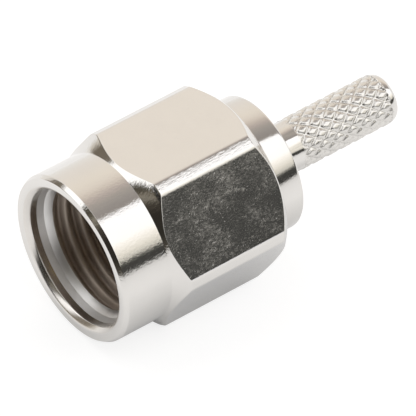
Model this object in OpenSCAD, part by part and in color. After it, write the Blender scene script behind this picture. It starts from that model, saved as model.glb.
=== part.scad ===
/*
  Straight crimp plug with a coupling nut, miniature coaxial connector.
  +X runs along the axis from the open mouth to the crimp stem, +Z is up.
  The origin is on the axis in the mating plane, the front face of the outer contact.
  The plug lies on one flat of its hexagon.
*/

/* [Coupling nut] */
// Distance across the flats of the hexagon
nut_af = 8.0; // [7.9:0.05:8.3]
// Diameter to which the corners of the hexagon are turned
nut_corner_d = 8.95; // [8.6:0.05:9.1]
// Length of the nut
nut_len = 8.5; // [8.2:0.1:10]
// Depth of the mating plane behind the nut's front face
mouth_depth = 3.9; // [3.6:0.1:4.3]
// Diameter of the round skirt in front of the hexagon
skirt_d = 7.78; // [7.4:0.02:7.84]
// Length of the skirt's straight part
skirt_len = 2.42; // [2.2:0.02:2.6]
// Radius of the hollow shoulder between skirt and hexagon
shoulder_r = 2.3; // [1.8:0.1:4]
// Angle at which the shoulder leaves the skirt
shoulder_tilt = 33; // [20:1:40]
// Length of the chamfer round the skirt's front edge
skirt_edge_len = 0.2; // [0.1:0.02:0.3]
// Depth of that chamfer across the wall
skirt_edge_drop = 0.11; // [0.06:0.01:0.16]
// Chamfer on the corners at the rear of the hexagon, on the radius
rear_chamfer = 0.55; // [0.4:0.05:0.8]
// Chamfer at the rear of the nut's bore
rear_bore_chamfer = 0.1; // [0.05:0.01:0.15]

/* [Nut mouth and thread] */
// Diameter of the counterbore in the mouth
counterbore_d = 6.37; // [6.2:0.01:6.5]
// Depth of the counterbore's straight part
counterbore_depth = 0.56; // [0.4:0.02:0.8]
// Chamfer at the mouth of the counterbore
mouth_chamfer = 0.22; // [0.1:0.02:0.3]
// Diameter at the small end of the taper that ends the counterbore
taper_end_d = 6.2; // [6:0.02:6.3]
// Length of that taper
taper_len = 0.32; // [0.2:0.02:0.5]
// Inside diameter of the coupling thread
thread_bore_d = 5.72; // [5.7:0.01:5.8]
// Length of the countersink that leads into the thread
lead_in_len = 0.28; // [0.2:0.02:0.4]
// Distance from the mating plane to the thread's inner end
thread_end = 2.3; // [2:0.05:2.5]
// Diameter of the run-out groove behind the thread
run_out_d = 6.5; // [6.1:0.05:6.6]
// Width of the run-out groove
run_out_w = 0.45; // [0.3:0.05:0.5]

/* [Outer contact] */
// Outside diameter of the contact sleeve
sleeve_d = 4.58; // [4.5:0.01:4.6]
// Chamfer round the sleeve's tip
sleeve_chamfer = 0.06; // [0.04:0.01:0.1]
// Inside diameter of the sleeve, which holds the insulator
sleeve_bore_d = 4.12; // [4:0.02:4.16]
// Distance from the mating plane to the gasket shoulder
shoulder_x = 2.54; // [2.4:0.02:2.6]

/* [Body] */
// Diameter of the neck on which the nut turns
neck_d = 5.24; // [5.2:0.02:5.3]
// Chamfer at the front edge of the neck
neck_chamfer = 0.1; // [0.05:0.01:0.15]
// Diameter of the collar behind the nut
collar_d = 6.22; // [5.8:0.02:6.6]
// Length of the collar
collar_len = 1.4; // [1:0.05:2]
// Rounding of the collar's rear edge
collar_round = 0.12; // [0.06:0.02:0.2]
// Rounding of the collar's front edge
collar_front_round = 0.08; // [0.04:0.02:0.12]
// Thickness of the wall at the back of the collar
collar_back = 0.5; // [0.3:0.05:0.7]
// Diameter of the chamber behind the insulator
chamber_d = 2.6; // [2.4:0.05:3]
// Length of that chamber
chamber_len = 1.2; // [1.1:0.05:1.4]

/* [Crimp stem] */
// Diameter over the knurl
stem_d = 2.34; // [2.3:0.02:2.5]
// Length of the stem behind the collar
stem_len = 6.72; // [6:0.1:8]
// Depth of the plain land and the nose below the knurl's crests
land_drop = 0.02; // [0:0.01:0.04]
// Length of the plain land
land_len = 1.6; // [1:0.1:2]
// Length of the rounded nose
nose_len = 0.4; // [0.3:0.05:0.5]
// Height of the nose's rounding
nose_drop = 0.22; // [0.16:0.02:0.24]
// Diameter of the bore for the cable's insulation
cable_bore_d = 1.65; // [1.5:0.01:1.66]
// Chamfer at the mouth of the cable bore
cable_chamfer = 0.06; // [0.04:0.01:0.08]

/* [Knurl] */
// Diamonds round the stem
knurl_count = 12; // [8:1:16]
// Length of one diamond along the stem
knurl_pitch = 0.75; // [0.5:0.05:1]
// Depth of the grooves
knurl_depth = 0.09; // [0.05:0.01:0.1]
// Width of a groove as a share of the diamond
knurl_groove = 0.66; // [0.4:0.02:0.8]
// Facets across one diamond
knurl_facets = 6; // [4:2:8]
// Facets by which the first row of diamonds is set back
knurl_shift = 2; // [0:1:5]
// Turn of the diamonds about the axis, in degrees
knurl_turn = 7; // [0:1:29]

/* [Retaining ring] */
// Outside diameter of the ring
ring_d = 5.84; // [5.8:0.02:5.9]
// Height of the ring's section across the axis
ring_h = 0.45; // [0.4:0.01:0.5]
// Width of the ring's section along the axis
ring_w = 0.45; // [0.4:0.01:0.5]
// Gap between the ring's ends
ring_gap = 0.8; // [0.5:0.1:1.2]

/* [Gasket, insulator and centre contact] */
// Radial wall of the gasket
gasket_wall = 0.29; // [0.25:0.01:0.29]
// Thickness of the gasket
gasket_t = 0.7; // [0.6:0.02:0.8]
// Depth of the insulator's face behind the mating plane
insulator_recess = 0.05; // [0:0.01:0.1]
// Diameter of the contact's pin
pin_d = 0.92; // [0.9:0.01:0.94]
// Reach of the pin in front of the mating plane
pin_reach = 1.9; // [1.3:0.1:2.5]
// Length of the pin's taper at the tip
pin_tip_len = 0.3; // [0.2:0.05:0.4]
// Diameter of the pin's flat tip
pin_tip_d = 0.36; // [0.3:0.02:0.5]
// Diameter of the contact's shank
shank_d = 1.27; // [1.2:0.01:1.3]
// Diameter of the flange behind the insulator
flange_d = 1.9; // [1.7:0.05:2.1]
// Thickness of the flange
flange_t = 0.3; // [0.2:0.05:0.4]
// Length of the solder cup behind the flange
cup_len = 0.7; // [0.5:0.05:0.8]
// Diameter of the hole in the solder cup
cup_hole_d = 0.62; // [0.5:0.02:0.7]

/* [Clearances] */
// Radial clearance between nut and neck
nut_clear = 0.06; // [0.04:0.01:0.08]
// Play of the nut along the axis, each way
nut_float = 0.1; // [0.06:0.01:0.12]
// Gap left at each end of that play
float_gap = 0.04; // [0.02:0.01:0.06]
// Radial gap between the gasket and the nut's thread bore
gasket_gap = 0.11; // [0.08:0.01:0.15]
// Gap on each side of the ring in the nut's groove
ring_side_gap = 0.03; // [0.02:0.01:0.05]
// Room round the ring in the nut, into which it springs as the body goes in
ring_room = 0.2; // [0.16:0.01:0.3]
// Gap between the ring and the floor of the body's groove
ring_floor_gap = 0.06; // [0.04:0.01:0.1]
// Radial gap of parts pressed into each other
seat_gap = 0.01; // [0.005:0.005:0.02]

/* [Hidden] */
$fn = 96;

// Stations along the axis
mouth_x = -mouth_depth;
nut_rear_x = mouth_x + nut_len;
ring_x0 = (shoulder_x + nut_rear_x - ring_w) / 2;
ring_x1 = ring_x0 + ring_w;
collar_x0 = nut_rear_x + nut_float + float_gap;
collar_x1 = collar_x0 + collar_len;
stem_end_x = collar_x1 + stem_len;
knurl_x0 = collar_x1 + land_len;
knurl_x1 = stem_end_x - nose_len;
chamber_x1 = collar_x1 - collar_back;
insulator_seat = chamber_x1 - chamber_len;
body_groove_play = nut_float + float_gap;

// Radii
skirt_r = skirt_d / 2;
corner_r = nut_corner_d / 2;
rear_bore_r = neck_d / 2 + nut_clear;
ring_r = ring_d / 2;
gasket_r = thread_bore_d / 2 - gasket_gap;
gasket_step_r = gasket_r - gasket_wall;
crest_r = stem_d / 2;
land_r = crest_r - land_drop;
root_r = crest_r - knurl_depth;

// Points of an arc about c, from angle a0 to a1, as [radius, station]
function arc(c, r, a0, a1, steps = 6, squash = 1) =
    [for (i = [0:steps]) let (a = a0 + (a1 - a0) * i / steps) c + [r * squash * cos(a), r * sin(a)]];

// A profile of [radius, station] points turned about the X axis
module turned(points) {
    rotate([0, 90, 0]) rotate_extrude() polygon(points);
}

// Nut: the turned blank that trims the hexagon, with its hollow shoulder
shoulder_rise = corner_r - skirt_r;
shoulder_end_tilt = acos(cos(shoulder_tilt) - shoulder_rise / shoulder_r);
rear_face_r = corner_r - rear_chamfer;

module nut_blank() {
    turned(concat(
        [[0, mouth_x], [skirt_r - skirt_edge_drop, mouth_x], [skirt_r, mouth_x + skirt_edge_len]],
        arc([skirt_r + shoulder_r * cos(shoulder_tilt), mouth_x + skirt_len - shoulder_r * sin(shoulder_tilt)],
            shoulder_r, 180 - shoulder_tilt, 180 - shoulder_end_tilt, 8),
        [[corner_r, nut_rear_x - rear_chamfer], [rear_face_r, nut_rear_x], [0, nut_rear_x]]));
}

// Everything that is bored out of the nut, from the mouth to the rear
module nut_bores() {
    cone_x = mouth_x + counterbore_depth;
    thread_x = cone_x + taper_len + lead_in_len;
    run_out_x = thread_end + run_out_w;
    turned([[0, mouth_x - 1], [counterbore_d / 2 + mouth_chamfer + 1, mouth_x - 1],
        [counterbore_d / 2, mouth_x + mouth_chamfer], [counterbore_d / 2, cone_x],
        [taper_end_d / 2, cone_x + taper_len], [thread_bore_d / 2, thread_x],
        [thread_bore_d / 2, thread_end], [run_out_d / 2, thread_end], [run_out_d / 2, run_out_x],
        [rear_bore_r, run_out_x], [rear_bore_r, nut_rear_x - rear_bore_chamfer],
        [rear_bore_r + rear_bore_chamfer + 1, nut_rear_x + 1], [0, nut_rear_x + 1]]);
    turned([[0, ring_x0 - ring_side_gap], [ring_r + ring_room, ring_x0 - ring_side_gap],
        [ring_r + ring_room, ring_x1 + ring_side_gap], [0, ring_x1 + ring_side_gap]]);
}

module coupling_nut() {
    color("#C9C5BC")
    difference() {
        intersection() {
            nut_blank();
            translate([mouth_x - 1, 0, 0]) rotate([0, 90, 0]) rotate(30)
                cylinder(d = nut_af / cos(30), h = nut_len + 2, $fn = 6);
        }
        nut_bores();
    }
}

// Knurl: the height of the stem's skin where two families of helical grooves cross
function groove(t) = max(0, 1 - 2 * abs(t - round(t)) / knurl_groove);
function knurl_r(turn, run) = crest_r - knurl_depth * max(groove(turn + run), groove(turn - run));

knurl_sides = knurl_count * knurl_facets;
knurl_step = knurl_pitch / knurl_facets;
knurl_rows = floor((knurl_x1 - knurl_x0) / knurl_step) - 1;
knurl_start = (knurl_x0 + knurl_x1 - knurl_rows * knurl_step) / 2;

// One ring of skin points; row counts from -2, inside the land, to two past the last, inside the nose
function skin_row(row) = let (
        buried = row < -1 || row > knurl_rows + 1,
        edge = row == -1 || row == knurl_rows + 1,
        x = buried ? (row < 0 ? knurl_x0 - knurl_step : knurl_x1 + knurl_step)
            : edge ? (row < 0 ? knurl_x0 : knurl_x1) : knurl_start + row * knurl_step)
    [for (i = [0:knurl_sides - 1]) let (
        a = knurl_turn + 360 * i / knurl_sides,
        r = buried || edge ? root_r : knurl_r(i / knurl_facets, (row - knurl_shift) / knurl_facets))
        [x, r * cos(a), r * sin(a)]];

module knurled_skin() {
    rows = [for (row = [-2:knurl_rows + 2]) skin_row(row)];
    points = [for (r = rows) each r];
    last = len(rows) - 1;
    function at(row, i) = row * knurl_sides + i % knurl_sides;
    function radius(k) = norm([points[k].y, points[k].z]);
    // Each cell is split along the diagonal that lies deeper, so the grooves run straight
    function cell(a, b, c, d) = radius(a) + radius(c) < radius(b) + radius(d)
        ? [[c, b, a], [d, c, a]] : [[d, b, a], [d, c, b]];
    polyhedron(points, concat(
        [for (row = [0:last - 1], i = [0:knurl_sides - 1])
            each cell(at(row, i), at(row, i + 1), at(row + 1, i + 1), at(row + 1, i))],
        [[for (i = [0:knurl_sides - 1]) at(0, i)]],
        [[for (i = [knurl_sides - 1:-1:0]) at(last, i)]]));
}

module body_front() {
    neck_r = neck_d / 2;
    groove_r = ring_r - ring_h - ring_floor_gap;
    turned(concat(
        [[0, 0], [sleeve_d / 2 - sleeve_chamfer, 0], [sleeve_d / 2, sleeve_chamfer],
        [sleeve_d / 2, shoulder_x - gasket_t], [gasket_step_r, shoulder_x - gasket_t],
        [gasket_step_r, shoulder_x],
        [neck_r - neck_chamfer, shoulder_x], [neck_r, shoulder_x + neck_chamfer],
        [neck_r, ring_x0 - body_groove_play], [groove_r, ring_x0 - body_groove_play],
        [groove_r, ring_x1 + body_groove_play], [neck_r, ring_x1 + body_groove_play],
        [neck_r, collar_x0]],
        arc([collar_d / 2 - collar_front_round, collar_x0 + collar_front_round], collar_front_round, -90, 0, 3),
        arc([collar_d / 2 - collar_round, collar_x1 - collar_round], collar_round, 0, 90, 4),
        [[land_r, collar_x1], [land_r, knurl_x0], [0, knurl_x0]]));
}

module stem_nose() {
    turned(concat([[0, knurl_x1]],
        arc([land_r - nose_drop, stem_end_x - nose_len], nose_len, 0, 90, 6, nose_drop / nose_len),
        [[0, stem_end_x]]));
}

module body_bores() {
    turned([[0, -1], [sleeve_bore_d / 2, -1], [sleeve_bore_d / 2, insulator_seat],
        [chamber_d / 2, insulator_seat], [chamber_d / 2, chamber_x1],
        [cable_bore_d / 2, chamber_x1], [cable_bore_d / 2, stem_end_x - cable_chamfer],
        [cable_bore_d / 2 + cable_chamfer + 1, stem_end_x + 1], [0, stem_end_x + 1]]);
}

module plug_body() {
    color("#CFCBC3")
    difference() {
        union() {
            body_front();
            knurled_skin();
            stem_nose();
        }
        body_bores();
    }
}

module retaining_ring() {
    color("#B79A5B")
    difference() {
        turned([[ring_r - ring_h, ring_x0], [ring_r, ring_x0], [ring_r, ring_x1], [ring_r - ring_h, ring_x1]]);
        translate([ring_x0 - 1, -ring_gap / 2, 0]) cube([ring_w + 2, ring_gap, ring_d]);
    }
}

module sealing_gasket() {
    color("#B4472B")
    turned([[gasket_step_r + seat_gap, shoulder_x - gasket_t], [gasket_r, shoulder_x - gasket_t],
        [gasket_r, shoulder_x], [gasket_step_r + seat_gap, shoulder_x]]);
}

module insulator() {
    color("#F2F1EC")
    difference() {
        turned([[0, insulator_recess], [sleeve_bore_d / 2 - seat_gap, insulator_recess],
            [sleeve_bore_d / 2 - seat_gap, insulator_seat], [0, insulator_seat]]);
        turned([[0, -1], [shank_d / 2 + seat_gap, -1], [shank_d / 2 + seat_gap, insulator_seat + 1],
            [0, insulator_seat + 1]]);
    }
}

module centre_contact() {
    flange_x1 = insulator_seat + flange_t;
    cup_x = flange_x1 + cup_len;
    color("#D2A93F")
    difference() {
        turned([[0, -pin_reach], [pin_tip_d / 2, -pin_reach], [pin_d / 2, pin_tip_len - pin_reach],
            [pin_d / 2, insulator_recess], [shank_d / 2, insulator_recess], [shank_d / 2, insulator_seat],
            [flange_d / 2, insulator_seat], [flange_d / 2, flange_x1], [shank_d / 2, flange_x1],
            [shank_d / 2, cup_x], [0, cup_x]]);
        turned([[0, insulator_seat], [cup_hole_d / 2, insulator_seat], [cup_hole_d / 2, cup_x + 1],
            [0, cup_x + 1]]);
    }
}

coupling_nut();
plug_body();
retaining_ring();
sealing_gasket();
insulator();
centre_contact();
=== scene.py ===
"""Looks of a straight crimp plug for thin coaxial cable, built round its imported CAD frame."""
import math

import bmesh
import bpy
from mathutils import Matrix, Vector


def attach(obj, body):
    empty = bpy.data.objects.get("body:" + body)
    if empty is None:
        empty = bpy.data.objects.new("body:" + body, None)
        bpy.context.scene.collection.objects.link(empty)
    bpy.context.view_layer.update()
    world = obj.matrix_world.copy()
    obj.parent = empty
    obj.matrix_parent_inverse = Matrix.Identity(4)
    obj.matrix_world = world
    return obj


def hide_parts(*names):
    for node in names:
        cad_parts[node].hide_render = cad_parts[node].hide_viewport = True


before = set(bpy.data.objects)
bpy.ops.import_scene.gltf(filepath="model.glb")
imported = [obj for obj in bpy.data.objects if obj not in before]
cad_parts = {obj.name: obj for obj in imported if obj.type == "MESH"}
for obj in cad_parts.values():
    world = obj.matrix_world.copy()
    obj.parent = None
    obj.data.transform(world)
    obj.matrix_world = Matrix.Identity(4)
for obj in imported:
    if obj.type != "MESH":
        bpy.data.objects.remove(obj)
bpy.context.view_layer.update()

MM = 0.001

# ---------------------------------------------------------------- sizes, in mm
# Stations run along +X from the mouth to the stem; zero is the mating plane.
MOUTH_X, NUT_REAR_X = -3.9, 4.6
FLAT_R, CORNER_R = 4.0, 4.474
SKIRT_R, SKIRT_END_X, SKIRT_EDGE_X, SKIRT_EDGE_R = 3.89, -1.48, -3.7, 3.78
SHOULDER_R, SHOULDER_TILT, SHOULDER_STEPS = 2.3, 33.0, 8
REAR_CHAMFER = 0.55
LIP_R, COUNTERBORE_R, TAPER_R = 3.405, 3.185, 3.1
COUNTERBORE_X0, COUNTERBORE_X1, TAPER_X1 = -3.68, -3.34, -3.02
THREAD_X0, THREAD_X1, THREAD_R = -2.74, 2.3, 2.86
THREAD_PITCH, THREAD_DEPTH = 0.7056, 0.31
THREAD_CREST, THREAD_FLANK = 0.25, 0.3125       # shares of the pitch
THREAD_RUN_IN, THREAD_RUN_OUT = 0.3, 0.2        # lengths over which it starts at the mouth and ends inside
RUN_OUT_X1, RUN_OUT_R = 2.75, 3.25
NUT_BORE_R, NUT_BORE_CHAMFER = 2.68, 0.1
NUT_GROOVE = (3.315, 3.825, 3.12)

SLEEVE_R, SLEEVE_BORE_R, SLEEVE_CHAMFER = 2.29, 2.06, 0.06
GASKET_X0, SHOULDER_X, GASKET_SEAT_R, GASKET_R = 1.84, 2.54, 2.46, 2.75
NECK_R, NECK_CHAMFER = 2.62, 0.1
BODY_GROOVE = (3.205, 3.935, 2.41)
COLLAR_X0, COLLAR_X1, COLLAR_R = 4.74, 6.14, 3.11
LAND_R, CREST_R, ROOT_R = 1.15, 1.17, 1.08
KNURL_X0, KNURL_X1, STEM_END_X = 7.74, 12.46, 12.86
KNURL_PITCH, KNURL_COUNT, KNURL_START, KNURL_TURN = 0.75, 12, 8.1, 7.0
KNURL_GROOVE = 0.66          # share of a diamond's pitch taken by a groove
KNURL_SOFT = 0.3             # how widely two crossing grooves run together
KNURL_STEPS = 16             # mesh steps to a diamond, each way
NOSE_R = 0.93
CABLE_R, CABLE_CHAMFER = 0.825, 0.06
CHAMBER_X0, CHAMBER_X1, CHAMBER_R = 4.44, 5.64, 1.3

RING = (3.345, 3.795, 2.47, 2.92)
RING_GAP = 0.8
INSULATOR_X0 = 0.05
SEAT_GAP = 0.01              # between a soft piece and what it is pressed on
PIN_TIP_X, PIN_TIP_R, PIN_TAPER_X, PIN_R = -1.9, 0.18, -1.6, 0.46
SHANK_R, FLANGE_R, FLANGE_X1, CUP_X1, CUP_R = 0.635, 0.95, 4.74, 5.44, 0.31


# ---------------------------------------------------------------- mesh helpers
def rounded(corners, steps=4):
    """The closed outline through corners (x, r, fillet), with each fillet drawn as a short curve."""
    points, count = [], len(corners)
    for i, (x, r, fillet) in enumerate(corners):
        here = Vector((x, r))
        if fillet == 0:
            points.append((x, r))
            continue
        before = Vector(corners[i - 1][:2]) - here
        after = Vector(corners[(i + 1) % count][:2]) - here
        half = before.angle(after) / 2
        reach = min(fillet / math.tan(half), 0.45 * before.length, 0.45 * after.length)
        start, end = here + before.normalized() * reach, here + after.normalized() * reach
        for k in range(steps + 1):
            t = k / steps
            p = start * (1 - t) ** 2 + here * 2 * t * (1 - t) + end * t * t
            points.append((p.x, p.y))
    return points


def skin(name, angles, outline, closed=True, slots=None):
    """A solid swept about the X axis: outline(angle) gives the closed line of (x, r) at that angle."""
    mesh, bm = bpy.data.meshes.new(name), bmesh.new()
    columns = [[bm.verts.new((x * MM, r * MM * math.cos(a), r * MM * math.sin(a)))
                for x, r in outline(math.degrees(a))] for a in map(math.radians, angles)]
    count = len(columns[0])
    following = columns[1:] + columns[:1] if closed else columns[1:]
    for turn, left, right in zip(angles, columns, following):
        for k in range(count):
            n = (k + 1) % count
            face = bm.faces.new((left[k], left[n], right[n], right[k]))
            face.material_index = slots(k, turn) if slots else 0
            face.smooth = True
    if not closed:
        bm.faces.new(columns[0])
        bm.faces.new(reversed(columns[-1]))
    bmesh.ops.remove_doubles(bm, verts=bm.verts, dist=1e-8)
    bmesh.ops.dissolve_degenerate(bm, edges=bm.edges, dist=1e-8)
    bmesh.ops.recalc_face_normals(bm, faces=bm.faces)
    bm.to_mesh(mesh)
    bm.free()
    piece = bpy.data.objects.new(name, mesh)
    bpy.context.scene.collection.objects.link(piece)
    normals = piece.modifiers.new("flats_stay_flat", "WEIGHTED_NORMAL")
    normals.weight = 50
    return piece


def even(count, turn=0.0):
    """Angles in even steps round the axis."""
    return [turn + 360 * i / count for i in range(count)]


def turned(name, corners, columns=160):
    """A plain turned piece from its rounded outline."""
    line = rounded(corners)
    return skin(name, even(columns), lambda a: line)


# ---------------------------------------------------------------- coupling nut
TURNED, MILLED, THREAD, BORED, CORNER, LEAD_IN = range(6)       # the nut's material slots
EDGE_BLEND = 0.04                # how softly the hexagon's flats run into its turned corners
HOLD_X, HOLD_R = 0.06, 0.033     # rows this far in from a chamfer's ends keep its shading its own
HOLD_SKIRT = 0.1                 # the same, along the skirt
FLAT_HALF_ANGLE = math.degrees(math.acos(FLAT_R / CORNER_R))
CORNER_HALF_ANGLE = 30 - FLAT_HALF_ANGLE


def nut_angles():
    """Even steps, with closer ones where each flat meets a corner strip."""
    steps = set(round(2.5 * i, 4) for i in range(144))
    for flat in range(30, 390, 60):
        for side in (-1, 1):
            for k in range(-5, 6):
                steps.add(round((flat + side * (FLAT_HALF_ANGLE + 0.25 * k)) % 360, 4))
    return sorted(steps) + [360.0]


def nut_radius(angle):
    """Distance from the axis to the hexagon, trimmed by its turned blank, with the edge softened."""
    off = math.radians((angle % 60) - 30)
    flat = FLAT_R / math.cos(off)
    blend = max(EDGE_BLEND - abs(flat - CORNER_R), 0) / EDGE_BLEND
    return min(flat, CORNER_R) - blend * blend * EDGE_BLEND / 4


def thread_depth(phase):
    """Depth of the thread, 0 at its crest and 1 at its root, over one pitch."""
    rising = phase < (1 + THREAD_CREST) / 2
    t = (phase - THREAD_CREST) / THREAD_FLANK if rising else (1 - phase) / THREAD_FLANK
    t = min(max(t, 0), 1)
    return 0.5 * t + 0.5 * t * t * (3 - 2 * t)


THREAD_PHASES = (0, 0.125, *(THREAD_CREST + 0.0625 * i for i in range(12)))


def thread_line(angle):
    """The thread's outline at an angle, from its inner end to its mouth. Its rows follow the helix."""
    turns = math.ceil((THREAD_X1 - THREAD_X0) / THREAD_PITCH) + 1
    points = []
    for turn in range(-1, turns):
        for phase in THREAD_PHASES:
            x = THREAD_X0 + (turn + phase + angle / 360) * THREAD_PITCH
            x = min(max(x, THREAD_X0), THREAD_X1)
            fade = min(1, (x - THREAD_X0) / THREAD_RUN_IN, (THREAD_X1 - x) / THREAD_RUN_OUT)
            points.append((x, THREAD_R + THREAD_DEPTH * thread_depth(phase) * fade))
    return points[::-1]


def shoulder(top):
    """The hollow shoulder's points between the skirt and radius top, and the station where it ends."""
    first = math.radians(SHOULDER_TILT)
    centre_r = SKIRT_R + SHOULDER_R * math.cos(first)
    centre_x = SKIRT_END_X - SHOULDER_R * math.sin(first)
    last = math.acos((centre_r - top) / SHOULDER_R)
    tilts = [first + (last - first) * i / SHOULDER_STEPS for i in range(1, SHOULDER_STEPS)]
    points = [(centre_x + SHOULDER_R * math.sin(t), centre_r - SHOULDER_R * math.cos(t), 0) for t in tilts]
    return points, centre_x + SHOULDER_R * math.sin(last)


def nut_outside(angle):
    """The skirt, its hollow shoulder and the hexagon, from the mouth to the rear."""
    top = nut_radius(angle)
    hollow, x_front = shoulder(top)
    x_rear = NUT_REAR_X - REAR_CHAMFER + CORNER_R - top
    edge = [(MOUTH_X, SKIRT_EDGE_R, 0.03), (MOUTH_X + HOLD_X, SKIRT_EDGE_R + HOLD_R, 0),
            (SKIRT_EDGE_X - HOLD_X, SKIRT_R - HOLD_R, 0), (SKIRT_EDGE_X, SKIRT_R, 0.04)]
    skirt = [(SKIRT_EDGE_X + HOLD_SKIRT, SKIRT_R, 0), (SKIRT_END_X - HOLD_SKIRT, SKIRT_R, 0),
             (SKIRT_END_X, SKIRT_R, 0.03)]
    hexagon = [(x_front, top, 0.07), (x_rear, top, 0.1), (NUT_REAR_X, CORNER_R - REAR_CHAMFER, 0.05)]
    return edge + skirt + hollow + hexagon


def nut_rear():
    """The rear bore, with the retaining ring's groove and the thread's run-out."""
    g0, g1, gr = NUT_GROOVE
    return [(NUT_REAR_X, NUT_BORE_R + NUT_BORE_CHAMFER, 0.03),
            (NUT_REAR_X - NUT_BORE_CHAMFER, NUT_BORE_R, 0.03),
            (g1, NUT_BORE_R, 0.02), (g1, gr, 0.02), (g0, gr, 0.02), (g0, NUT_BORE_R, 0.02),
            (RUN_OUT_X1, NUT_BORE_R, 0.02), (RUN_OUT_X1, RUN_OUT_R, 0.03), (THREAD_X1, RUN_OUT_R, 0.03)]


def nut_outline(angle):
    """The nut's closed outline: outside from the mouth to the rear, then the bore back to the mouth."""
    thread = [(x, r, 0) for x, r in thread_line(angle)]
    mouth = [(TAPER_X1, TAPER_R, 0.03), (COUNTERBORE_X1, COUNTERBORE_R, 0.05),
             (COUNTERBORE_X0, COUNTERBORE_R, 0.14), (MOUTH_X, LIP_R, 0.3)]
    return rounded(nut_outside(angle) + nut_rear() + thread + mouth)


def nut_region(start, end):
    """Which slot the stretch of the nut's outline between two of its points belongs to."""
    (x0, r0), (x1, r1) = start, end
    if min(r0, r1) > FLAT_R - 0.002 and abs(r1 - r0) < 1e-6 and x1 - x0 > 1:
        return MILLED
    if r0 < RUN_OUT_R - 0.05 and THREAD_X0 - 0.01 <= min(x0, x1) and max(x0, x1) <= THREAD_X1:
        return THREAD
    if max(r0, r1) < LIP_R + 0.02 and min(x0, x1) < THREAD_X0 - 0.01 and max(r0, r1) > THREAD_R:
        return LEAD_IN if min(x0, x1) > COUNTERBORE_X1 - 0.05 else BORED
    return TURNED


def make_nut():
    """The nut, closed where its helical outline has moved on by one pitch after a turn."""
    line = nut_outline(30.0)
    regions = [nut_region(start, end) for start, end in zip(line, line[1:] + line[:1])]

    def slot(row, turn):
        on_corner = abs((turn + 30) % 60 - 30) < CORNER_HALF_ANGLE
        return CORNER if regions[row] == MILLED and on_corner else regions[row]

    nut = skin("nut", nut_angles(), nut_outline, closed=False, slots=slot)
    bm = bmesh.new()
    bm.from_mesh(nut.data)
    seam = [f for f in bm.faces if len(f.verts) > 6]          # the two caps where the sweep closes on itself
    bmesh.ops.delete(bm, geom=seam, context="FACES_ONLY")
    bmesh.ops.remove_doubles(bm, verts=bm.verts, dist=1e-8)
    bmesh.ops.recalc_face_normals(bm, faces=bm.faces)
    bm.to_mesh(nut.data)
    bm.free()
    return nut


# ---------------------------------------------------------------- plug body
def knurl_height(angle, x):
    """Height of the diamonds, 0 in a groove and 1 on a crest, from two families of helical grooves."""
    turn, run = (angle - KNURL_TURN) * KNURL_COUNT / 360, (x - KNURL_START) / KNURL_PITCH
    a, b = (2 * abs(t - round(t)) for t in (turn + run, turn - run))
    side = min(max(0.5 + 0.5 * (a - b) / KNURL_SOFT, 0.0), 1.0)
    low = a * (1 - side) + b * side - KNURL_SOFT * side * (1 - side)
    return math.sin(math.pi / 2 * min(1, max(low, 0) / KNURL_GROOVE))


def knurl_line(angle):
    """The knurl's outline at an angle. Its first and last rows are half as deep."""
    rows, step = [], KNURL_PITCH / KNURL_STEPS
    first = math.ceil((KNURL_X0 - KNURL_START) / step)
    last = math.floor((KNURL_X1 - KNURL_START) / step)
    for k in range(first, last + 1):
        x = KNURL_START + k * step
        full = 1 if first < k < last else 0.5
        rows.append((x, ROOT_R + (CREST_R - ROOT_R) * (1 - full + full * knurl_height(angle, x)), 0))
    return rows


def body_front():
    """The outer contact's sleeve, the gasket's seat and the neck with the retaining ring's groove."""
    g0, g1, gr = BODY_GROOVE
    sleeve = [(0, SLEEVE_BORE_R, 0.02), (0, SLEEVE_R - SLEEVE_CHAMFER, 0.02),
              (SLEEVE_CHAMFER, SLEEVE_R, 0.03), (GASKET_X0, SLEEVE_R, 0.01),
              (GASKET_X0, GASKET_SEAT_R, 0.02), (SHOULDER_X, GASKET_SEAT_R, 0)]
    neck = [(SHOULDER_X, NECK_R - NECK_CHAMFER, 0.02), (SHOULDER_X + NECK_CHAMFER, NECK_R, 0.03),
            (g0, NECK_R, 0.02), (g0, gr, 0.02), (g1, gr, 0.02), (g1, NECK_R, 0.02), (COLLAR_X0, NECK_R, 0.02)]
    return sleeve + neck


def body_nose():
    """The stem's rounded end."""
    nose_len, quarter = STEM_END_X - KNURL_X1, math.pi / 2
    return [(KNURL_X1 + nose_len * math.sin(t), NOSE_R + (LAND_R - NOSE_R) * math.cos(t), 0)
            for t in (quarter * i / 8 for i in range(9))]


def body_outline(angle):
    """The body's closed outline: outside from the sleeve to the nose, then the bores back to the front."""
    collar = [(COLLAR_X0, COLLAR_R, 0.09), (COLLAR_X1, COLLAR_R, 0.14), (COLLAR_X1, LAND_R, 0.06)]
    land = [(KNURL_X0 - 0.02, LAND_R, 0)]
    bores = [(STEM_END_X, CABLE_R + CABLE_CHAMFER, 0.02), (STEM_END_X - CABLE_CHAMFER, CABLE_R, 0.02),
             (CHAMBER_X1, CABLE_R, 0.02), (CHAMBER_X1, CHAMBER_R, 0.02), (CHAMBER_X0, CHAMBER_R, 0.02),
             (CHAMBER_X0, SLEEVE_BORE_R, 0.02)]
    return rounded(body_front() + collar + land + knurl_line(angle) + body_nose() + bores)


def make_body():
    """The body, with the knurl's rows in a slot of their own."""
    line = body_outline(0)
    on_knurl = [KNURL_X0 - 0.03 <= min(x0, x1) and max(x0, x1) <= KNURL_X1 + 0.05
                and min(r0, r1) > CABLE_R + 0.1
                for (x0, r0), (x1, r1) in zip(line, line[1:] + line[:1])]
    columns = even(KNURL_COUNT * KNURL_STEPS, KNURL_TURN)
    return skin("plug_body_skin", columns, body_outline, slots=lambda row, turn: int(on_knurl[row]))


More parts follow.
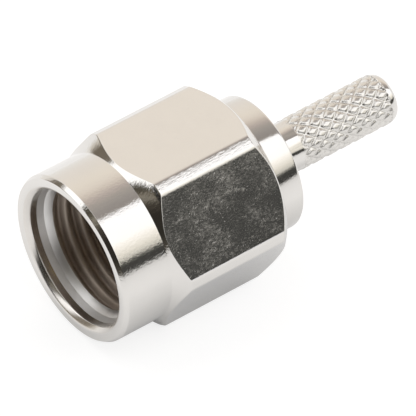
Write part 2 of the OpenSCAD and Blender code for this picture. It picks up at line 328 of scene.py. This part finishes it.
# ---------------------------------------------------------------- small turned pieces
def make_ring():
    """The split spring ring that holds the nut on."""
    x0, x1, r0, r1 = RING
    line = rounded([(x0, r0, 0.04), (x0, r1, 0.04), (x1, r1, 0.04), (x1, r0, 0.04)])
    gap = math.degrees(RING_GAP / 2 / (0.5 * (r0 + r1)))
    angles = [90 + gap + (360 - 2 * gap) * i / 120 for i in range(121)]
    return skin("spring_ring", angles, lambda a: line, closed=False)


def make_gasket():
    """The silicone ring on the body's shoulder."""
    inner = GASKET_SEAT_R + SEAT_GAP
    return turned("soft_gasket", [(GASKET_X0, inner, 0.05), (GASKET_X0, GASKET_R, 0.09),
                                  (SHOULDER_X, GASKET_R, 0.09), (SHOULDER_X, inner, 0.05)])


def make_insulator():
    """The PTFE sleeve between the pin's shank and the body."""
    inner, outer = SHANK_R + SEAT_GAP, SLEEVE_BORE_R - SEAT_GAP
    return turned("ptfe_bead", [(INSULATOR_X0, inner, 0.03), (INSULATOR_X0, outer, 0.04),
                                (CHAMBER_X0, outer, 0.02), (CHAMBER_X0, inner, 0.02)])


def make_contact():
    """The pin, its flange behind the insulator and its solder cup."""
    x_flange = CHAMBER_X0
    line = rounded([(PIN_TIP_X, 0, 0), (PIN_TIP_X, PIN_TIP_R, 0.05), (PIN_TAPER_X, PIN_R, 0.25),
                    (INSULATOR_X0, PIN_R, 0.01), (INSULATOR_X0, SHANK_R, 0.02), (x_flange, SHANK_R, 0.01),
                    (x_flange, FLANGE_R, 0.03), (FLANGE_X1, FLANGE_R, 0.03), (FLANGE_X1, SHANK_R, 0.02),
                    (CUP_X1, SHANK_R, 0.03), (CUP_X1, CUP_R, 0.03), (x_flange, CUP_R, 0), (x_flange, 0, 0)])
    return skin("pin_contact", even(96), lambda a: line)


# ---------------------------------------------------------------- materials
def new_material(name):
    material = bpy.data.materials.new(name)
    material.use_nodes = True
    return material, material.node_tree, material.node_tree.nodes["Principled BSDF"]


def link(tree, out, socket):
    tree.links.new(out, socket)


def maths(tree, operation, *values, clamp=False):
    """A chain of one operation over sockets and numbers."""
    total = values[0]
    for value in values[1:]:
        node = tree.nodes.new("ShaderNodeMath")
        node.operation, node.use_clamp = operation, clamp
        for socket, term in zip(node.inputs, (total, value)):
            if isinstance(term, (int, float)):
                socket.default_value = term
            else:
                link(tree, term, socket)
        total = node.outputs["Value"]
    return total


def object_coords(tree, scale):
    """Coordinates fixed to the object, stretched by scale along each axis."""
    place = tree.nodes.new("ShaderNodeMapping")
    place.inputs["Scale"].default_value = scale
    link(tree, tree.nodes.new("ShaderNodeTexCoord").outputs["Object"], place.inputs["Vector"])
    return place.outputs["Vector"]


def noise(tree, scale, detail=2.0, rough=0.5):
    texture = tree.nodes.new("ShaderNodeTexNoise")
    texture.inputs["Scale"].default_value = 1.0
    texture.inputs["Detail"].default_value = detail
    texture.inputs["Roughness"].default_value = rough
    link(tree, object_coords(tree, scale), texture.inputs["Vector"])
    return texture.outputs["Fac"]


def bump(tree, height, distance, below=None):
    node = tree.nodes.new("ShaderNodeBump")
    node.inputs["Strength"].default_value = 1.0
    node.inputs["Distance"].default_value = distance
    link(tree, height, node.inputs["Height"])
    if below is not None:
        link(tree, below, node.inputs["Normal"])
    return node.outputs["Normal"]


def ramp(tree, fac, stops):
    node = tree.nodes.new("ShaderNodeValToRGB")
    while len(node.color_ramp.elements) < len(stops):
        node.color_ramp.elements.new(1.0)
    for element, (at, colour) in zip(node.color_ramp.elements, stops):
        element.position, element.color = at, (*colour, 1)
    link(tree, fac, node.inputs["Fac"])
    return node.outputs["Color"]


def spread(tree, value, start, end, low, high):
    """A value that goes from low to high as another goes from start to end, and stays there beyond."""
    node = tree.nodes.new("ShaderNodeMapRange")
    for name, number in (("From Min", start), ("From Max", end), ("To Min", low), ("To Max", high)):
        node.inputs[name].default_value = number
    link(tree, value, node.inputs["Value"])
    return node.outputs["Result"]


def clouds(tree, scale, start, end, low, high):
    """A noise that passes from low to high between two of its levels."""
    return spread(tree, noise(tree, scale, 3, 0.6), start, end, low, high)


def split_place(tree):
    """The X, Y and Z of a place fixed to the object."""
    node = tree.nodes.new("ShaderNodeSeparateXYZ")
    link(tree, object_coords(tree, (1, 1, 1)), node.inputs["Vector"])
    return node.outputs


def scratched(tree, rough):
    """Milled faces: roughness in broad patches, with fine scratches and dull specks."""
    rough = maths(tree, "MULTIPLY", rough, clouds(tree, (700, 700, 700), 0.35, 0.62, 0.55, 1.35))
    rough = maths(tree, "ADD", rough, clouds(tree, (2200, 9000, 600), 0.60, 0.72, 0.0, 0.10))
    return maths(tree, "ADD", rough, clouds(tree, (15000, 15000, 15000), 0.66, 0.72, 0.0, 0.30))


def nickel(name, colour, roughness, grain, ripple, rings=0.0, size=9000, patches=2500, streaks=0.0,
           scratches=False):
    """Bright nickel plate: a slow ripple, a fine grain and, on turned faces, rings left by the tool."""
    material, tree, shader = new_material(name)
    shader.inputs["Metallic"].default_value = 1.0
    dull = tuple(c * 0.985 for c in colour)
    tint = ramp(tree, noise(tree, (900, 900, 900)), [(0.35, dull), (0.65, colour)])
    link(tree, tint, shader.inputs["Base Color"])
    rough = spread(tree, noise(tree, (patches,) * 3, 4, 0.65), 0.3, 0.7, *roughness)
    link(tree, scratched(tree, rough) if scratches else rough, shader.inputs["Roughness"])
    normal = bump(tree, noise(tree, (500, 500, 500), 1), ripple)
    normal = bump(tree, noise(tree, (size, size, size), 3, 0.6), grain, normal)
    if rings:
        normal = bump(tree, noise(tree, (14000, 1, 1), 3), rings, normal)
    if streaks:
        normal = bump(tree, noise(tree, (3500, 12000, 12000), 3, 0.6), streaks, normal)
    link(tree, normal, shader.inputs["Normal"])
    return material


def plain(name, colour, roughness, metallic=0.0, grain=1e-7, size=4000, shade=0.9):
    """Gold, bronze, rubber or plastic: a mottled colour and a fine grain."""
    material, tree, shader = new_material(name)
    shader.inputs["Metallic"].default_value = metallic
    shader.inputs["Roughness"].default_value = roughness
    dark = tuple(c * shade for c in colour)
    tint = ramp(tree, noise(tree, (size / 4,) * 3), [(0.35, dark), (0.65, colour)])
    link(tree, tint, shader.inputs["Base Color"])
    link(tree, bump(tree, noise(tree, (size,) * 3, 3), grain), shader.inputs["Normal"])
    return material


# ---------------------------------------------------------------- studio
FLOOR_Z = -FLAT_R * MM
FLOOR_HALF, FLOOR_GREY = 1.5, 0.32
FLOOR_SEEN, FLOOR_MIRRORED = 0.83, 0.80         # glow of the floor to the camera and in gloss
SHADE_SEEN, SHADE_MIRRORED = 0.06, 0.85         # how much of it the contact shade takes away
SHADE_REACH = 0.008
FLOOR_BEHIND = 0.1                              # what is left of it in gloss at the camera's side
TENT_R, TENT_LEN, TENT_STEPS = 0.26, 1.4, 96
TENT_FROM, TENT_TO = -10, 190                   # the arc that the stops below are placed on, in degrees
WALL_GREY = 0.05

# What the tent shows over its arc, as (degrees up from the horizon behind, colour).
# Right of the plug's mouth: a warm back wall, a dimmer roof, the soft box above the camera and a dark gap
# along the table
TENT_RIGHT = [
    (-2, (1.01, 1.00, 0.97)), (15, (0.98, 0.93, 0.87)), (50, (1.0, 0.925, 0.82)), (60, (0.94, 0.86, 0.765)),
    (66, (0.86, 0.77, 0.68)), (72, (0.71, 0.63, 0.56)), (78, (0.59, 0.52, 0.48)), (84, (0.49, 0.45, 0.41)),
    (90, (0.44, 0.41, 0.38)), (96, (0.39, 0.36, 0.34)), (105, (0.36, 0.33, 0.30)), (106, (1.42, 1.42, 1.45)),
    (139, (1.42, 1.42, 1.40)), (144, (1.32, 1.28, 1.20)), (150, (1.17, 1.13, 1.04)),
    (156, (0.99, 0.95, 0.85)), (163, (0.72, 0.70, 0.63)), (166, (0.07, 0.07, 0.065)),
    (183, (0.055, 0.053, 0.05)),
]
# Straight above the mouth: a strip light, over and across, softer overhead and at the back
TENT_MIDDLE = [
    (-2, (1.0, 0.98, 0.94)), (20, (0.95, 0.90, 0.84)), (30, (1.2, 1.2, 1.2)), (98, (1.2, 1.2, 1.2)),
    (108, (1.5, 1.5, 1.5)), (163, (1.5, 1.5, 1.5)), (166, (0.05, 0.05, 0.045)),
    (183, (0.035, 0.034, 0.03)),
]
# Left of it: a dark card at the back, a second soft box overhead and the dark room round the camera
TENT_LEFT = [
    (-2, (0.85, 0.82, 0.76)), (4, (0.75, 0.70, 0.62)), (10, (0.20, 0.17, 0.13)), (36, (0.22, 0.19, 0.15)),
    (44, (1.45, 1.45, 1.45)), (74, (1.45, 1.45, 1.45)), (82, (0.10, 0.09, 0.07)), (92, (0.09, 0.08, 0.06)),
    (98, (0.30, 0.27, 0.22)), (104, (0.26, 0.24, 0.20)), (112, (0.08, 0.07, 0.055)),
    (130, (0.035, 0.03, 0.025)), (160, (0.035, 0.032, 0.026)), (183, (0.10, 0.09, 0.075)),
]
# Each seam along X, from where one zone starts to fade to where the next one is full
TENT_SEAMS = ((0.035, 0.02, TENT_MIDDLE), (-0.035, -0.05, TENT_LEFT))
CAMERA_AIM, CAMERA_BACK, CAMERA_LENS = (1.634, -2.337, 1.5), 0.30537, 628.2     # mm, metres, mm
CAMERA_TURNS = (-35.94, 42.13, -1.80)           # azimuth, elevation and roll, in degrees


def studio_mesh(name, verts, faces):
    mesh = bpy.data.meshes.new(name)
    mesh.from_pydata(verts, [], faces)
    piece = bpy.data.objects.new(name, mesh)
    bpy.context.scene.collection.objects.link(piece)
    return piece


def matt(name, grey):
    """A plain dull grey for the room."""
    material, tree, shader = new_material(name)
    shader.inputs["Base Color"].default_value = (grey, grey, grey, 1)
    shader.inputs["Roughness"].default_value = 1.0
    return material, tree, shader


def shade(tree, depth):
    """Contact shade from 1 in the open down to 1 - depth under the plug."""
    near = tree.nodes.new("ShaderNodeAmbientOcclusion")
    near.samples = 16
    near.inputs["Distance"].default_value = SHADE_REACH
    return spread(tree, near.outputs["AO"], 0, 1, 1 - depth, 1)


def make_floor():
    """A pale table. Its white is seen by the camera and in gloss, and it keeps the plug's shadow in both."""
    half = FLOOR_HALF
    floor = studio_mesh("floor", [(-half, -half, FLOOR_Z), (half, -half, FLOOR_Z), (half, half, FLOOR_Z),
                                  (-half, half, FLOOR_Z)], [(0, 1, 2, 3)])
    material, tree, shader = matt("pale_floor", FLOOR_GREY)
    shader.inputs["Specular IOR Level"].default_value = 0.0
    shader.inputs["Emission Color"].default_value = (1, 1, 1, 1)
    path = tree.nodes.new("ShaderNodeLightPath").outputs
    far = spread(tree, split_place(tree)["Y"], -TENT_R, 0.0, FLOOR_BEHIND, 1.0)
    seen = maths(tree, "MULTIPLY", path["Is Camera Ray"], shade(tree, SHADE_SEEN), FLOOR_SEEN)
    mirrored = maths(tree, "ADD", path["Is Glossy Ray"], path["Is Transmission Ray"], clamp=True)
    mirrored = maths(tree, "MULTIPLY", mirrored, shade(tree, SHADE_MIRRORED), far, FLOOR_MIRRORED)
    link(tree, maths(tree, "ADD", seen, mirrored), shader.inputs["Emission Strength"])
    floor.data.materials.append(material)


def tent_mesh():
    """A long half cylinder over the table, along X."""
    verts, faces = [], []
    for i in range(TENT_STEPS + 1):
        a = math.radians(-1 + 182 * i / TENT_STEPS)
        for x in (-TENT_LEN / 2, TENT_LEN / 2):
            verts.append((x, TENT_R * math.cos(a), max(TENT_R * math.sin(a), FLOOR_Z)))
    for i in range(TENT_STEPS):
        faces.append((2 * i, 2 * i + 1, 2 * i + 3, 2 * i + 2))
    tent = studio_mesh("light_tent", verts, faces)
    tent.visible_camera = False
    tent.visible_shadow = False
    return tent


def tent_glow(tree, peak):
    """The tent's colour: the three zones' stops over the arc, faded into one another along X."""
    axes = split_place(tree)
    angle = maths(tree, "ARCTAN2", axes["Z"], axes["Y"])
    share = spread(tree, angle, math.radians(TENT_FROM), math.radians(TENT_TO), 0, 1)

    def arc(stops):
        return ramp(tree, share, [((at - TENT_FROM) / (TENT_TO - TENT_FROM), tuple(c / peak for c in colour))
                                  for at, colour in stops])

    shown = arc(TENT_RIGHT)
    for seam, end, stops in TENT_SEAMS:
        blend = tree.nodes.new("ShaderNodeMix")
        blend.data_type = "RGBA"
        link(tree, spread(tree, axes["X"], seam, end, 0, 1), blend.inputs["Factor"])
        link(tree, shown, blend.inputs[6])
        link(tree, arc(stops), blend.inputs[7])
        shown = blend.outputs[2]
    return shown


def make_tent():
    tent = tent_mesh()
    material, tree, _ = new_material("tent_cloth")
    peak = max(max(colour) for zone in (TENT_RIGHT, TENT_MIDDLE, TENT_LEFT) for _, colour in zone)
    glow = tree.nodes.new("ShaderNodeEmission")
    glow.inputs["Strength"].default_value = peak
    link(tree, tent_glow(tree, peak), glow.inputs["Color"])
    link(tree, glow.outputs["Emission"], tree.nodes["Material Output"].inputs["Surface"])
    tent.data.materials.append(material)


def make_left_wall():
    """The dark end of the room, beyond the plug's mouth."""
    end, low, high = -TENT_LEN / 2, FLOOR_Z, TENT_R
    corners = [(end, -high, low), (end, high, low), (end, high, high), (end, -high, high)]
    wall = studio_mesh("left_wall", corners, [(0, 1, 2, 3)])
    wall.visible_camera = False
    wall.data.materials.append(matt("dark_wall", WALL_GREY)[0])


def make_world():
    world = bpy.data.worlds.new("white_room")
    world.use_nodes = True
    background = world.node_tree.nodes["Background"]
    background.inputs["Color"].default_value = (1, 1, 1, 1)
    background.inputs["Strength"].default_value = 1.0
    bpy.context.scene.world = world


def make_camera():
    """A long lens from the front left, well above the plug, turned a little about its own axis."""
    aim = Vector(CAMERA_AIM) * MM
    azimuth, elevation, roll = (math.radians(a) for a in CAMERA_TURNS)
    back = Vector((math.sin(azimuth) * math.cos(elevation), -math.cos(azimuth) * math.cos(elevation),
                   math.sin(elevation)))
    right = Vector((0, 0, 1)).cross(back).normalized()
    turn = Matrix((right, back.cross(right), back)).transposed() @ Matrix.Rotation(roll, 3, "Z")
    camera = bpy.data.cameras.new("camera")
    camera.lens, camera.sensor_width = CAMERA_LENS, 36
    camera.clip_start, camera.clip_end = 0.01, 10
    piece = bpy.data.objects.new("camera", camera)
    piece.matrix_world = Matrix.Translation(aim + back * CAMERA_BACK) @ turn.to_4x4()
    bpy.context.scene.collection.objects.link(piece)
    bpy.context.scene.camera = piece


# ---------------------------------------------------------------- put together
def place(piece, body, node, slot, *materials):
    """Dresses a piece, lets it ride on its body and stands it in for its CAD node."""
    for material in materials:
        piece.data.materials.append(material)
    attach(piece, body)
    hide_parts(node)


make_camera()
make_world()
make_floor()
make_tent()
make_left_wall()

# Each nickel: colour, lowest and highest roughness, then the height in metres of its grain, ripple and rings
BRIGHT = (0.75, 0.73, 0.705)
nut_nickels = [                                 # in the order of the nut's material slots
    nickel("nickel_turned", BRIGHT, (0.06, 0.10), 5e-6, 3e-7, 1.5e-7),
    nickel("nickel_milled", (0.77, 0.755, 0.745), (0.03, 0.17), 2.4e-6, 1e-6, size=12000, patches=7000,
           scratches=True),
    # The thread's colour is darker and browner than the nickel outside: painted shade for the deep bore.
    nickel("nickel_thread_painted_shade", (0.50, 0.43, 0.37), (0.54, 0.62), 1e-7, 3e-7),
    nickel("nickel_bored", (0.74, 0.71, 0.675), (0.20, 0.26), 1e-7, 3e-7),
    nickel("nickel_corner", BRIGHT, (0.06, 0.12), 1e-6, 1e-6, streaks=6e-6),
    # The lead-in's colour is lighter than the nickel outside: painted light inside the mouth.
    nickel("nickel_lead_in_painted_light", (0.82, 0.81, 0.80), (0.44, 0.50), 1e-7, 3e-7),
]
body_nickels = [
    nickel("nickel_body", BRIGHT, (0.07, 0.11), 2e-6, 3e-7, 1e-7),
    nickel("nickel_knurl", (0.74, 0.72, 0.69), (0.24, 0.30), 2e-6, 3e-7),
]
bronze = plain("spring_bronze", (0.72, 0.53, 0.34), 0.25, metallic=1.0)
rubber = plain("silicone_rubber", (0.62, 0.18, 0.09), 0.6, grain=1e-6)
ptfe = plain("waxy_ptfe", (0.86, 0.85, 0.81), 0.42, grain=3e-7, size=3000, shade=0.96)
gold = plain("gold_plate", (0.86, 0.66, 0.28), 0.16, metallic=1.0)

place(make_nut(), "nut", "coupling_nut", "nickel_nut", *nut_nickels)
place(make_body(), "body", "plug_body", "nickel_body", *body_nickels)
place(make_ring(), "ring", "retaining_ring", "bronze_ring", bronze)
place(make_gasket(), "body", "sealing_gasket", "silicone", rubber)
place(make_insulator(), "body", "insulator", "ptfe", ptfe)
place(make_contact(), "body", "centre_contact", "gold_contact", gold)

bpy.context.scene.view_settings.view_transform = "Standard"
